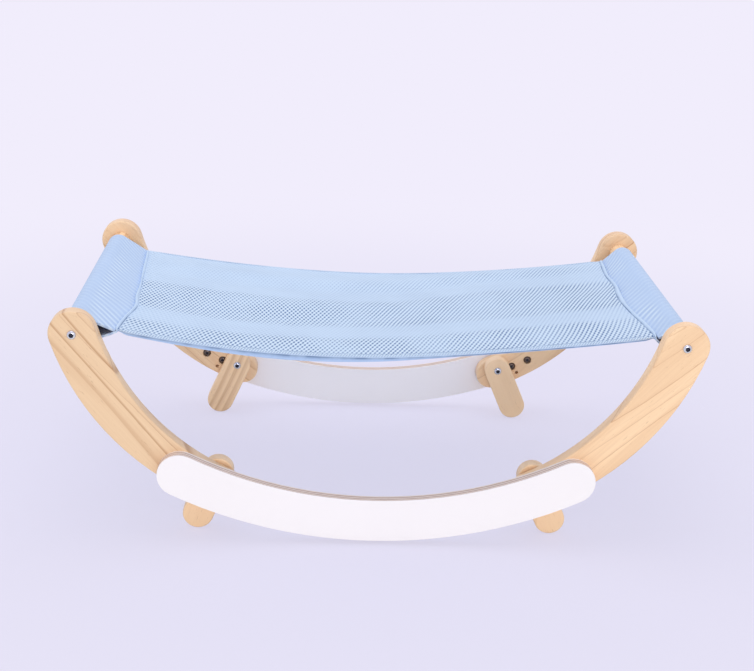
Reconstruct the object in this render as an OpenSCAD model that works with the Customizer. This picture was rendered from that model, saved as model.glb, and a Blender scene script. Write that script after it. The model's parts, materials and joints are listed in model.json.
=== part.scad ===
// Cat hammock: two bent rocker frames joined by two dowels that carry a mesh bed.
// Units are millimetres, +Z is up, the front is -Y and the floor is z = 0.
// The origin is the middle of the footprint on the floor.

/* [Overall] */
// Distance from the middle to each dowel along X
dowel_x = 317; // [280:1:360]
// Height of the dowel axes above the floor
dowel_z = 225; // [200:1:260]
// Overall depth over the two panels
frame_depth = 415; // [360:1:480]

/* [Rocker panels] */
// Thickness of a whole rocker panel with its two white sheets
panel_t = 12; // [9:0.5:18]
// Thickness of each white sheet
face_t = 0.8; // [0.5:0.1:1.5]
// Radius of the panel centre line
panel_r = 475; // [420:1:560]
// Width of the panel band
panel_w = 47; // [40:0.5:56]
// Half length of the panel centre line between its round ends
panel_half_length = 215.5; // [206:0.5:225]
// Gap under the panel while the hammock stands on its feet
panel_lift = 4; // [2:0.5:10]

/* [Arms] */
// Thickness of an arm
arm_t = 18; // [15:0.5:22]
// Radius of the rounded upper end
arm_head_r = 24.5; // [20:0.5:30]
// Radius of the rounded lower end
arm_tail_r = 19; // [16:0.5:24]
// Centre of the lower end, distance from the middle along X
arm_tail_x = 163; // [150:1:180]
// Centre of the lower end, height above the floor
arm_tail_z = 55; // [48:1:64]
// Radius of the outer edge
arm_outer_r = 283.5; // [270:0.5:320]
// Radius of the inner edge
arm_inner_r = 257.5; // [240:0.5:290]
// Rounding of the long edges
arm_edge = 2; // [1:0.25:4]

/* [Feet] */
// Thickness of a foot
foot_t = 15; // [12:0.5:20]
// Half of the foot width
foot_r = 16.5; // [14:0.5:20]
// Outward splay from upright in degrees
foot_splay = 24; // [15:1:35]
// Pivot distance from the middle along X
pivot_x = 169.5; // [160:0.5:180]
// Pivot height above the floor
pivot_z = 66; // [60:0.5:75]
// Rounding of the foot edges
foot_edge = 1.5; // [1:0.25:3]
// Radius of the anti-slip pad
pad_r = 4; // [3:0.5:6]
// Height of the anti-slip pad
pad_h = 2.4; // [1.6:0.1:3]
// How far the pad stands below the wood
pad_proud = 0.8; // [0.4:0.1:1.2]
// Distance from the pivot to the foot catch and to its hole in the arm
catch_reach = 28; // [24:0.5:32]
// Radius of the catch plunger
catch_r = 2.1; // [1.5:0.1:3]
// Turn that brings the catch to its hole, in degrees
catch_turn = 51; // [40:1:60]

/* [Dowels] */
// Radius of a dowel
dowel_r = 11; // [9:0.5:14]

/* [Fasteners] */
// Thread radius of every bolt
bolt_r = 2.5; // [2:0.1:3]
// Head radius of every bolt
head_r = 4.8; // [4:0.1:6]
// Head height of every bolt
head_h = 2.6; // [2:0.1:3.5]
// Outer radius of a threaded insert
insert_r = 4; // [3.5:0.1:5]
// Depth of an insert in a panel
insert_h = 8; // [6:0.5:9]
// Depth of an insert in a dowel end
dowel_insert_h = 13; // [10:1:20]
// Outer radius of the washer between foot and arm
washer_r = 8; // [7:0.5:10]
// Thickness of that washer
washer_t = 1; // [0.8:0.1:1.5]
// Distance of the lower panel bolt from the middle, along the panel
lower_bolt_reach = 194.8; // [190:0.1:198]
// Distance between the two panel bolts of a corner, along the panel
bolt_spacing = 22.4; // [18:0.1:26]

/* [Fabric] */
// Gap between the front hem and the front arms
front_gap = 8.5; // [4:0.5:20]
// Gap between the back hem and the back arms
back_gap = 22; // [4:0.5:30]
// Thickness of the mesh
cloth_t = 3; // [2:0.5:4]
// Distance from each dowel to its seam along X
seam_reach = 44; // [36:1:60]
// Drop of the seams below the dowel axes at the front hem
front_seam_drop = 0.5; // [0:0.5:12]
// Drop of the seams below the dowel axes at the back hem, where the cloth is slack
back_seam_drop = 7; // [0:0.5:20]
// Drop of the middle of the bed below the dowel axes at the front hem
front_sag = 26; // [14:1:60]
// Drop of the middle of the bed below the dowel axes at the back hem
back_sag = 29; // [20:1:60]
// Fullness of the sag curve
sag_power = 1.8; // [1.5:0.1:2.5]
// Height of the soft lengthwise waves in the bed
wave_h = 1.8; // [0:0.1:4]
// Number of these waves from hem to hem
wave_count = 3; // [1:1:5]
// Width of each hem
hem_w = 5; // [4:0.5:10]
// Height of each hem
hem_h = 7; // [5:0.5:10]
// Width of the raised seam
seam_w = 4.4; // [3:0.2:6]
// Height of the raised seam
seam_h = 8; // [6:0.5:12]

/* [Clearances] */
// Radial clearance between a fixed bolt or insert and its hole
fixed_gap = 0.05; // [0.02:0.01:0.2]
// Radial running clearance between the pivot bolt and the foot
pivot_gap = 0.06; // [0.02:0.01:0.1]
// Side clearance of the foot between washer and bolt head
side_gap = 0.1; // [0.05:0.05:0.3]
// Depth of a panel bolt head below the arm face
head_sink = 0.3; // [0.1:0.1:1]
// Clearance around a sunk bolt head
head_gap = 0.5; // [0.3:0.1:1]
// Clearance between the sleeve and its dowel
sleeve_gap = 0.2; // [0.1:0.05:0.3]
// Clearance between fabric pieces that are sewn together
sewn_gap = 0.1; // [0.05:0.05:0.3]

/* [Hidden] */
half_depth = frame_depth / 2;
core_t = panel_t - 2 * face_t;
core_y = half_depth - face_t;
arm_outer_y = half_depth - panel_t;
arm_inner_y = arm_outer_y - arm_t;
cloth_w = 2 * arm_inner_y - front_gap - back_gap;
cloth_mid_y = (front_gap - back_gap) / 2;
foot_outer_y = arm_inner_y - washer_t - side_gap;
foot_inner_y = foot_outer_y - foot_t;
foot_mid_y = foot_outer_y - foot_t / 2;
panel_half_angle = angle_along(panel_half_length);
panel_cz = panel_lift + panel_r + panel_w / 2;
head = [dowel_x, dowel_z];
tail = [arm_tail_x, arm_tail_z];
pivot = [pivot_x, pivot_z];
foot_drop = pivot_z - foot_r - pad_proud;
foot_end = [pivot_x + foot_drop * tan(foot_splay), foot_r + pad_proud];
catch_rest = pivot + catch_reach * [sin(foot_splay), -cos(foot_splay)];
catch_hole = pivot + catch_reach * [sin(foot_splay + catch_turn), -cos(foot_splay + catch_turn)];
catch_depth = 8;
bolt_points = [for (i = [0, 1]) on_panel(angle_along(lower_bolt_reach + i * bolt_spacing))];
seam_x = dowel_x - seam_reach;
bed_half_w = cloth_w / 2 - hem_w;
bed_end = seam_x - seam_w / 2 - sewn_gap;
sleeve_r = dowel_r + sleeve_gap + cloth_t;
sleeve_tip_r = 2.2;
sleeve_tip_x = seam_x + seam_w / 2 + sewn_gap + sleeve_tip_r;
hole_fn = 14;
head_fn = 16;
round_fn = 32;

pine = [0.93, 0.80, 0.66];
white = [0.96, 0.94, 0.97];
steel = [0.80, 0.81, 0.84];
mesh_blue = [0.72, 0.81, 0.94];
edge_blue = [0.68, 0.78, 0.93];
cream = [0.93, 0.91, 0.86];

// Angle at the panel's centre, in degrees, for a distance along the panel from its middle.
function angle_along(reach) = reach / panel_r * 180 / PI;
// Point on the panel centre line at an angle from its lowest point.
function on_panel(a) = [panel_r * sin(a), panel_cz - panel_r * cos(a)];
function angle_of(v) = atan2(v[1], v[0]);
// Points on an arc from a0 to a1 degrees in n steps, without the first and last when inside is set.
function arc(c, r, a0, a1, n, inside = 0) =
    [for (i = [inside : n - inside]) let (a = a0 + (a1 - a0) * i / n) c + r * [cos(a), sin(a)]];
// Meeting point of two circles, on the left of the line from p to q.
function meet(p, rp, q, rq) =
    let (d = norm(q - p), u = (q - p) / d, k = (d * d + rp * rp - rq * rq) / (2 * d),
         h = sqrt(rp * rp - k * k))
    p + k * u + h * [-u[1], u[0]];

outer_c = meet(tail, arm_outer_r - arm_tail_r, head, arm_outer_r - arm_head_r);
inner_c = meet(tail, arm_inner_r + arm_tail_r, head, arm_inner_r + arm_head_r);

// Arm outline drawn in by e: upper end, inner edge, lower end, outer edge.
function arm_outline(e) =
    let (oh = angle_of(head - outer_c), ot = angle_of(tail - outer_c),
         ih = angle_of(head - inner_c), it = angle_of(tail - inner_c))
    concat(arc(head, arm_head_r - e, oh, ih + 180, 20),
           arc(inner_c, arm_inner_r + e, ih, it, 16, 1),
           arc(tail, arm_tail_r - e, it + 180, ot + 360, 14),
           arc(outer_c, arm_outer_r - e, ot, oh, 16, 1));

// Panel outline: a band on a circle with round ends.
panel_outline =
    let (a = panel_half_angle, c = [0, panel_cz], h = panel_w / 2, p = on_panel(a))
    concat(arc(c, panel_r + h, -90 - a, -90 + a, 24),
           arc(p, h, a - 90, a + 90, 14, 1),
           arc(c, panel_r - h, -90 + a, -90 - a, 24),
           arc([-p[0], p[1]], h, 90 - a, 270 - a, 14, 1));

// Foot outline drawn in by e: round upper end at the pivot, round lower end on the floor side.
function foot_outline(e) =
    concat(arc(pivot, foot_r - e, foot_splay, foot_splay + 180, 14),
           arc(foot_end, foot_r - e, foot_splay + 180, foot_splay + 360, 14));

// Value that goes from its amount at the front hem to its amount at the back hem.
function across(y, front, back) = front + (back - front) * (y / cloth_w + 0.5);
function seam_z(y) = dowel_z - across(y, front_seam_drop, back_seam_drop);
// Height of the middle of the cloth at a point of the bed.
function bed_z(x, y) =
    let (low = dowel_z - across(y, front_sag, back_sag))
    low + (seam_z(y) - low) * pow(abs(x) / seam_x, sag_power);
bed_steps = 30;
function bed_line(y, rise) =
    [for (i = [0 : bed_steps]) let (x = -bed_end + 2 * bed_end * i / bed_steps) [x, bed_z(x, y) + rise]];
// Rise of the waves at a point of the bed: none at the hems and seams.
function wave_z(x, y) = wave_h * cos(360 * wave_count * y / cloth_w + 30)
    * (1 - pow(abs(x) / bed_end, 4)) * (1 - pow(abs(y) / bed_half_w, 6));
function reversed(v) = [for (i = [len(v) - 1 : -1 : 0]) v[i]];

// Puts a piece made for the front right corner in another corner.
module corner(side, end) {
    mirror([side < 0 ? 1 : 0, 0, 0]) mirror([0, end > 0 ? 1 : 0, 0]) children();
}
module corners() {
    for (side = [-1, 1], end = [-1, 1]) corner(side, end) children();
}
// Cylinder along Y between y0 and y1 at p = [x, z].
module along_y(p, r, y0, y1, fn = hole_fn) {
    translate([p[0], y0, p[1]]) rotate([-90, 0, 0]) cylinder(r = r, h = y1 - y0, $fn = fn);
}
// Slab with rounded long edges; outline_at(e) gives its outline drawn in by e.
module rounded_slab(outline_at, t, e) {
    k = e * (1 - cos(45));
    rings = [for (s = [[e, 0], [k, k], [0, e], [0, t - e], [k, t - k], [e, t]])
        [for (p = outline_at(s[0])) [p[0], p[1], s[1]]]];
    n = len(rings[0]);
    last = n * (len(rings) - 1);
    polyhedron(
        points = [for (r = rings) each r],
        faces = concat(
            [[for (i = [0 : n - 1]) i], [for (i = [n - 1 : -1 : 0]) last + i]],
            [for (k = [0 : len(rings) - 2]) for (i = [0 : n - 1])
                [k * n + i, (k + 1) * n + i, (k + 1) * n + (i + 1) % n, k * n + (i + 1) % n]]),
        convexity = 6);
}
// Button head bolt along Z, seated at z = 0 with its shank below.
module bolt(shank) {
    difference() {
        rotate_extrude($fn = head_fn) polygon([
            [0, -shank], [bolt_r, -shank], [bolt_r, 0], [head_r, 0], [head_r, head_h * 0.3],
            [head_r * 0.86, head_h * 0.7], [head_r * 0.58, head_h], [0, head_h]]);
        translate([0, 0, head_h * 0.4]) cylinder(r = head_r * 0.4, h = head_h, $fn = 6);
    }
}
// Bolt for the front frame with its head towards the back or, turned, towards the front.
module bolt_in(p, y, shank) {
    translate([p[0], y, p[1]]) rotate([-90, 0, 0]) bolt(shank);
}
module bolt_out(p, y, shank) {
    translate([p[0], y, p[1]]) rotate([90, 0, 0]) bolt(shank);
}
module insert(p, y0, y1) {
    difference() {
        along_y(p, insert_r, y0, y1);
        along_y(p, bolt_r + fixed_gap, y0 - 1, y1 + 1);
    }
}

// Layer of a front panel that starts at distance y from the middle.
module panel_layer(y, t) {
    translate([0, -y, 0]) rotate([90, 0, 0]) linear_extrude(t) polygon(panel_outline);
}
module insert_holes() {
    for (side = [-1, 1], p = concat(bolt_points, [pivot]))
        along_y([side * p[0], p[1]], insert_r + fixed_gap,
                -arm_outer_y - insert_h, -arm_outer_y + 1);
}
module panel_core() {
    difference() {
        panel_layer(arm_outer_y + face_t, core_t);
        insert_holes();
    }
}
module panel_lining() {
    difference() {
        panel_layer(arm_outer_y, face_t);
        insert_holes();
    }
}
module panel_face() {
    panel_layer(core_y, face_t);
}
module arm() {
    sunk_y = -arm_inner_y - head_sink - head_h;
    difference() {
        translate([0, -arm_inner_y, 0]) rotate([90, 0, 0])
            rounded_slab(function(e) arm_outline(e), arm_t, arm_edge);
        for (p = concat(bolt_points, [head, pivot]))
            along_y(p, bolt_r + 0.25, -arm_outer_y - 1, -arm_inner_y + 1);
        for (p = bolt_points) along_y(p, head_r + head_gap, sunk_y, -arm_inner_y + 1);
        along_y(catch_hole, catch_r + 0.1, -arm_inner_y - catch_depth, -arm_inner_y + 1);
    }
}
module foot() {
    difference() {
        translate([0, -foot_inner_y, 0]) rotate([90, 0, 0])
            rounded_slab(function(e) foot_outline(e), foot_t, foot_edge);
        along_y(pivot, bolt_r + pivot_gap, -foot_outer_y - 1, -foot_inner_y + 1);
        along_y(catch_rest, catch_r + fixed_gap, -foot_outer_y - 1, -foot_outer_y + catch_depth);
        translate([foot_end[0], -foot_mid_y, -1])
            cylinder(r = pad_r + fixed_gap, h = pad_h + 1 + fixed_gap, $fn = hole_fn);
    }
}
module pad() {
    translate([foot_end[0], -foot_mid_y, 0]) cylinder(r = pad_r, h = pad_h, $fn = hole_fn);
}
module catch() {
    along_y(catch_rest, catch_r, -foot_outer_y, -foot_outer_y + catch_depth - fixed_gap);
}
module dowel() {
    difference() {
        along_y(head, dowel_r, -arm_inner_y, arm_inner_y, round_fn);
        for (end = [-1, 1]) mirror([0, end > 0 ? 1 : 0, 0]) {
            along_y(head, insert_r + fixed_gap, -arm_inner_y - 1, -arm_inner_y + dowel_insert_h);
            along_y(head, bolt_r + fixed_gap, -arm_inner_y, -arm_inner_y + dowel_insert_h + 3);
        }
    }
}
// Solid of a length along Y, drawn round two bars. Each end lists both bars as [centre, radius, sides].
module slung(ends, length) {
    slice = 0.2;
    hull() for (end = [0, 1], bar = ends[end])
        translate([bar[0][0], end * (length - slice) - length / 2 + slice, bar[0][1]])
            rotate([90, 0, 0]) linear_extrude(slice) circle(r = bar[1], $fn = bar[2]);
}
// The dowel bar and the tip bar of a sleeve at both hems, drawn in by e.
function sleeve_bars(e) =
    [for (y = [-cloth_w / 2, cloth_w / 2])
        let (tip = [sleeve_tip_x, seam_z(y)],
             tip_r = e > 0 ? 0.6 : sleeve_tip_r,
             back = e > 0 ? (e + 0.6) / (sleeve_r - sleeve_tip_r) : 0)
        [[head, sleeve_r - e, round_fn], [tip + back * (head - tip), tip_r, 12]]];
module sleeve() {
    difference() {
        slung(sleeve_bars(0), cloth_w);
        slung(sleeve_bars(cloth_t), cloth_w + 2);
    }
}
module seam() {
    rise = (seam_h - seam_w) / 2;
    slung([for (y = [-cloth_w / 2, cloth_w / 2])
        [for (s = [-1, 1]) [[seam_x, seam_z(y) + s * rise], seam_w / 2, 12]]], cloth_w);
}
// Puts cloth that is drawn about its own middle at its place along the dowels.
module laid() { translate([0, cloth_mid_y, 0]) children(); }
// Strip of cloth that follows the sag between two values of y.
module sagging(y0, y1, thick) {
    translate([0, y1, 0]) rotate([90, 0, 0]) linear_extrude(y1 - y0)
        polygon(concat(bed_line(y0, -thick / 2), reversed(bed_line(y0, thick / 2))));
}
// Cloth between the hems, as a grid of triangles on both sides.
module bed_cloth() {
    nx = bed_steps;
    ny = 14;
    points = [for (k = [-0.5, 0.5]) for (i = [0 : nx]) for (j = [0 : ny])
        let (x = -bed_end + 2 * bed_end * i / nx, y = -bed_half_w + 2 * bed_half_w * j / ny)
        [x, y, bed_z(x, y) + wave_z(x, y) + k * cloth_t]];
    function id(i, j, k) = (k * (nx + 1) + i) * (ny + 1) + j;
    function pair(a, b, c, d) = [[a, b, c], [a, c, d]];
    quads = concat(
        [for (i = [0 : nx - 1]) for (j = [0 : ny - 1])
            each pair(id(i, j, 1), id(i, j + 1, 1), id(i + 1, j + 1, 1), id(i + 1, j, 1))],
        [for (i = [0 : nx - 1]) for (j = [0 : ny - 1])
            each pair(id(i, j, 0), id(i + 1, j, 0), id(i + 1, j + 1, 0), id(i, j + 1, 0))],
        [for (i = [0 : nx - 1])
            each pair(id(i, 0, 0), id(i, 0, 1), id(i + 1, 0, 1), id(i + 1, 0, 0))],
        [for (i = [0 : nx - 1])
            each pair(id(i + 1, ny, 0), id(i + 1, ny, 1), id(i, ny, 1), id(i, ny, 0))],
        [for (j = [0 : ny - 1])
            each pair(id(0, j + 1, 0), id(0, j + 1, 1), id(0, j, 1), id(0, j, 0))],
        [for (j = [0 : ny - 1])
            each pair(id(nx, j, 0), id(nx, j, 1), id(nx, j + 1, 1), id(nx, j + 1, 0))]);
    polyhedron(points = points, faces = quads, convexity = 6);
}
module front_edge() { sagging(-cloth_w / 2, -bed_half_w - sewn_gap, hem_h); }
module back_edge() { sagging(bed_half_w + sewn_gap, cloth_w / 2, hem_h); }

module front_panel() { color(pine) panel_core(); }
module back_panel() { color(pine) mirror([0, 1, 0]) panel_core(); }
module front_panel_face() { color(white) panel_face(); }
module back_panel_face() { color(white) mirror([0, 1, 0]) panel_face(); }
module front_panel_lining() { color(white) panel_lining(); }
module back_panel_lining() { color(white) mirror([0, 1, 0]) panel_lining(); }
module front_left_arm() { color(pine) corner(-1, -1) arm(); }
module front_right_arm() { color(pine) corner(1, -1) arm(); }
module back_left_arm() { color(pine) corner(-1, 1) arm(); }
module back_right_arm() { color(pine) corner(1, 1) arm(); }
module front_left_foot() { color(pine) corner(-1, -1) foot(); }
module front_right_foot() { color(pine) corner(1, -1) foot(); }
module back_left_foot() { color(pine) corner(-1, 1) foot(); }
module back_right_foot() { color(pine) corner(1, 1) foot(); }
module front_left_pad() { color(cream) corner(-1, -1) pad(); }
module front_right_pad() { color(cream) corner(1, -1) pad(); }
module back_left_pad() { color(cream) corner(-1, 1) pad(); }
module back_right_pad() { color(cream) corner(1, 1) pad(); }
module front_left_catch() { color(steel) corner(-1, -1) catch(); }
module front_right_catch() { color(steel) corner(1, -1) catch(); }
module back_left_catch() { color(steel) corner(-1, 1) catch(); }
module back_right_catch() { color(steel) corner(1, 1) catch(); }
module left_dowel() { color(pine) mirror([1, 0, 0]) dowel(); }
module right_dowel() { color(pine) dowel(); }
module dowel_bolts() {
    color(steel) corners() bolt_out(head, -arm_outer_y, arm_t + dowel_insert_h - 1);
}
module dowel_inserts() {
    color(steel) corners() insert(head, -arm_inner_y, -arm_inner_y + dowel_insert_h);
}
module panel_bolts() {
    color(steel) corners() for (p = bolt_points)
        bolt_in(p, -arm_inner_y - head_sink - head_h, arm_t - head_sink - head_h + insert_h - 1);
}
module panel_inserts() {
    color(steel) corners() for (p = concat(bolt_points, [pivot]))
        insert(p, -arm_outer_y - insert_h, -arm_outer_y);
}
module pivot_bolts() {
    color(steel) corners() bolt_in(pivot, -foot_inner_y + side_gap,
        foot_t + 2 * side_gap + washer_t + arm_t + insert_h - 1);
}
module pivot_washers() {
    color(steel) corners() difference() {
        along_y(pivot, washer_r, -arm_inner_y, -arm_inner_y + washer_t);
        along_y(pivot, bolt_r + 0.1, -arm_inner_y - 1, -arm_inner_y + washer_t + 1);
    }
}
module bed() { color(mesh_blue) laid() bed_cloth(); }
module left_sleeve() { color(mesh_blue) laid() mirror([1, 0, 0]) sleeve(); }
module right_sleeve() { color(mesh_blue) laid() sleeve(); }
module front_hem() { color(edge_blue) laid() front_edge(); }
module back_hem() { color(edge_blue) laid() back_edge(); }
module left_seam() { color(edge_blue) laid() mirror([1, 0, 0]) seam(); }
module right_seam() { color(edge_blue) laid() seam(); }

front_panel();
back_panel();
front_panel_face();
back_panel_face();
front_panel_lining();
back_panel_lining();
front_left_arm();
front_right_arm();
back_left_arm();
back_right_arm();
front_left_foot();
front_right_foot();
back_left_foot();
back_right_foot();
front_left_pad();
front_right_pad();
back_left_pad();
back_right_pad();
front_left_catch();
front_right_catch();
back_left_catch();
back_right_catch();
left_dowel();
right_dowel();
dowel_bolts();
dowel_inserts();
panel_bolts();
panel_inserts();
pivot_bolts();
pivot_washers();
bed();
left_sleeve();
right_sleeve();
front_hem();
back_hem();
left_seam();
right_seam();
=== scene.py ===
"""Looks of a cat hammock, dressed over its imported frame. Lengths are metres and the front is -Y."""
from itertools import pairwise
import json
import math

import bmesh
import bpy
from mathutils import Matrix, Vector, noise

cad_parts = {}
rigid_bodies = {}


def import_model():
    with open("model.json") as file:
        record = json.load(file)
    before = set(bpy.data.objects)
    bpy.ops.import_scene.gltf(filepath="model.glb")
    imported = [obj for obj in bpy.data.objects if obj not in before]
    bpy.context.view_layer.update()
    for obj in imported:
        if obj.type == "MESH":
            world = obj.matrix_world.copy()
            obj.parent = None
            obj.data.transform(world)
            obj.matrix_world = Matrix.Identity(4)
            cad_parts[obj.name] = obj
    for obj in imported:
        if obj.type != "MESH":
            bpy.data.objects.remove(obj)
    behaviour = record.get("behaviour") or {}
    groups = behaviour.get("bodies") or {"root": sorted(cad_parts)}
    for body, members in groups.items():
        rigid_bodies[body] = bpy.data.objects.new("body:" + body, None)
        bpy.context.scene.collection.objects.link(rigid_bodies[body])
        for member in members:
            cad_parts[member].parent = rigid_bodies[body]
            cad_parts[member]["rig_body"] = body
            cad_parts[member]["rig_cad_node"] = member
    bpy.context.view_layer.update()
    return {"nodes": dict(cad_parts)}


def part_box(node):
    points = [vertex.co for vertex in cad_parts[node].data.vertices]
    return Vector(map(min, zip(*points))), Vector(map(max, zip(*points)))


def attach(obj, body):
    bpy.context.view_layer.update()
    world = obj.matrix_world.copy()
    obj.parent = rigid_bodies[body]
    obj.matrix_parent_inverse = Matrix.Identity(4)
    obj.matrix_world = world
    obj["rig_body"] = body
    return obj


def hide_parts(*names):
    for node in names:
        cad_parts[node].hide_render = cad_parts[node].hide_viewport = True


bl_info = {
    "name": "Cat hammock",
    "version": (1, 0, 0),
    "blender": (4, 5, 0),
    "location": "3D View > Sidebar > Hammock",
    "description": "Wood, metal and mesh cloth for a cat hammock, over its fixed frame",
    "category": "Object",
}

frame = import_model()
FRAME_BODY = "frame"
CORNERS = ("front_left", "front_right", "back_left", "back_right")
ENDS = ("left", "right")
SIDES = ("front", "back")
MM = 0.001
SLEEVE_WALL = 0.0022
SLEEVE_SLACK = 0.003


def srgb(red, green, blue):
    """A colour read from 0 to 255 on a screen, as the linear colour that a shader takes."""
    def linear(c):
        c /= 255
        return c / 12.92 if c <= 0.04045 else ((c + 0.055) / 1.055) ** 2.4
    return linear(red), linear(green), linear(blue)


def colour(name, description, red, green, blue):
    """A colour that the user can change."""
    return bpy.props.FloatVectorProperty(
        name=name, description=description, subtype="COLOR", size=3, min=0, max=1,
        default=srgb(red, green, blue))


def length(name, description, default, low=0.0, high=1.0):
    """A length in metres that the user can change."""
    return bpy.props.FloatProperty(
        name=name, description=description, default=default, min=low, max=high,
        subtype="DISTANCE", unit="LENGTH", precision=4)


def share(name, description, default, high=1.0):
    """A plain number that the user can change."""
    return bpy.props.FloatProperty(name=name, description=description, default=default, min=0, max=high)


class HammockWood(bpy.types.PropertyGroup):
    """Pine of the arms, feet and dowels, and the layers of the panels."""
    early: colour("Early wood", "Pale wood between the rings", 255, 219, 180)
    late: colour("Late wood", "Darker line of each ring", 196, 136, 84)
    ring: length("Ring width", "Distance from one growth ring to the next", 0.0072, 0.002, 0.02)
    fleck: share("Flecks", "Strength of the short dark flecks", 0.30)
    gloss: share("Roughness", "Roughness of the clear satin finish", 0.42)
    ply_pale: colour("Ply", "Pale layers of the panel core", 240, 222, 212)
    ply_dark: colour("Glue line", "Dark layers of the panel core", 172, 134, 124)
    white: colour("White sheet", "White sheet on both sides of a panel", 250, 245, 250)


class HammockMetal(bpy.types.PropertyGroup):
    """Plated bolts, inserts, washers and catches."""
    plate: colour("Plating", "Bright plating of the bolts", 214, 216, 226)
    # Painted shade inside the driver recess of each bolt.
    shadow: colour("Recess", "Bottom of the driver recess", 38, 34, 62)
    dull: colour("Dull steel", "Inserts, washers and catches", 176, 178, 184)
    head: length("Head radius", "Radius of a bolt head", 0.0048, 0.003, 0.008)
    dome: length("Head height", "Height of a bolt head", 0.0026, 0.001, 0.005)
    socket: length("Socket radius", "Radius of the hexagon socket", 0.0027, 0.001, 0.004)
    bronze: colour("Panel bolts", "Darker plating of the bolts that hold the panels", 112, 98, 92)


class HammockCloth(bpy.types.PropertyGroup):
    """Air mesh of the bed and its sewn edges."""
    thread: colour("Thread", "Face of the mesh", 203, 224, 252)
    # Painted shade at the bottom of the mesh holes, also the colour of the painted shade in folds and grooves.
    hole: colour("Hole", "Bottom of the mesh holes", 76, 112, 170)
    sleeve: colour("Sleeve", "Face of the mesh on the sleeves", 192, 214, 249)
    edge: colour("Edge", "Folded edge strip", 184, 208, 246)
    # The stitch colour also gives the painted highlight on the mesh threads.
    stitch: colour("Stitch", "Sewing thread", 226, 241, 255)
    # Painted shade on the inner side of the sleeves.
    inside: colour("Inside", "Inner side of the sleeves", 66, 88, 188)
    pitch: length("Hole pitch", "Distance between holes along the bed", 0.00475, 0.002, 0.01)
    row: length("Row pitch", "Distance between holes in one column", 0.0112, 0.004, 0.02)
    thickness: length("Thickness", "Thickness of the mesh", 0.003, 0.001, 0.005)
    wave: length("Waves", "Height of the soft lengthwise waves", 0.0018, 0.0, 0.006)
    lean: length("Lean", "How much higher the front edge hangs on its right than on its left", 0.0035, 0.0, 0.01)
    hem: length("Hem height", "Height of each hem in the frame", 0.007, 0.002, 0.02)
    welt: length("Seam height", "Height of each seam in the frame", 0.008, 0.002, 0.02)


class HammockStage(bpy.types.PropertyGroup):
    """Camera, floor and light."""
    lens: bpy.props.FloatProperty(name="Lens", description="Focal length in mm on a 36 mm sensor",
                                  default=68.18, min=20, max=200)
    floor: colour("Floor", "Floor close to the hammock", 229, 226, 246)
    far: colour("Background", "Floor and air far behind the hammock", 241, 237, 252)
    sky: share("Sky", "Strength of the light from all round", 0.74, 2)
    key: share("Key lamp", "Power of the large lamp above", 19.0, 200)
    fill: share("Fill lamp", "Power of the low lamp in front, which reaches below the bed", 108.0, 400)


PROPERTY_GROUPS = {
    "hammock_wood": HammockWood,
    "hammock_metal": HammockMetal,
    "hammock_cloth": HammockCloth,
    "hammock_stage": HammockStage,
}


class Finish:
    """A new material and its nodes, with short calls that add and join them."""

    def __init__(self, name):
        self.material = bpy.data.materials.new(name)
        self.material.use_nodes = True
        self.tree = self.material.node_tree
        self.shader = self.tree.nodes["Principled BSDF"]

    def node(self, kind, inputs=None, **settings):
        made = self.tree.nodes.new(kind)
        for name, value in settings.items():
            setattr(made, name, value)
        for key, value in (inputs or {}).items():
            self.feed(made.inputs[key], value)
        return made

    def feed(self, socket, value):
        """Joins an output to the socket, or sets the socket to a plain value."""
        if isinstance(value, bpy.types.NodeSocket):
            self.tree.links.new(value, socket)
        elif isinstance(value, tuple) and socket.type == "RGBA":
            socket.default_value = (*value[:3], 1)
        else:
            socket.default_value = value

    def set(self, **inputs):
        """Sets sockets of the shader, such as base_color or roughness."""
        for name, value in inputs.items():
            self.feed(self.shader.inputs[name.replace("_", " ").title()
                                         .replace("Ior", "IOR")], value)

    def maths(self, operation, a, b=0.0, c=0.0):
        made = self.node("ShaderNodeMath", {0: a, 1: b, 2: c}, operation=operation)
        return made.outputs[0]

    def between(self, value, low, high, to_low=0.0, to_high=1.0, smooth=True):
        """The value's place between low and high, eased, as a number from to_low to to_high."""
        made = self.node("ShaderNodeMapRange",
                         {0: value, 1: low, 2: high, 3: to_low, 4: to_high},
                         interpolation_type="SMOOTHSTEP" if smooth else "LINEAR", clamp=True)
        return made.outputs[0]

    def mix(self, amount, a, b, blend="MIX"):
        made = self.node("ShaderNodeMix", data_type="RGBA", blend_type=blend)
        self.feed(made.inputs[0], amount)
        self.feed(made.inputs[6], a)
        self.feed(made.inputs[7], b)
        return made.outputs[2]

    def place(self, shift=(0, 0, 0), turn=(0, 0, 0), stretch=(1, 1, 1)):
        """Object coordinates, shifted and turned to lie along the piece."""
        coordinates = self.node("ShaderNodeTexCoord").outputs["Object"]
        made = self.node("ShaderNodeMapping", {0: coordinates, 1: shift, 2: turn, 3: stretch})
        return made.outputs[0]

    def stretched(self, vector, stretch):
        made = self.node("ShaderNodeVectorMath", {0: vector, 1: stretch}, operation="MULTIPLY")
        return made.outputs[0]

    def noise(self, vector, scale, detail=2.0, rough=0.5):
        made = self.node("ShaderNodeTexNoise",
                         {"Vector": vector, "Scale": scale, "Detail": detail, "Roughness": rough})
        return made.outputs[0]

    def parts(self, vector):
        return self.node("ShaderNodeSeparateXYZ", {0: vector}).outputs

    def bump(self, height, distance, strength=1.0):
        made = self.node("ShaderNodeBump", {"Strength": strength, "Distance": distance, "Height": height})
        self.feed(self.shader.inputs["Normal"], made.outputs[0])


def settings(context, name):
    return getattr(context.scene, name)


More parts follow.
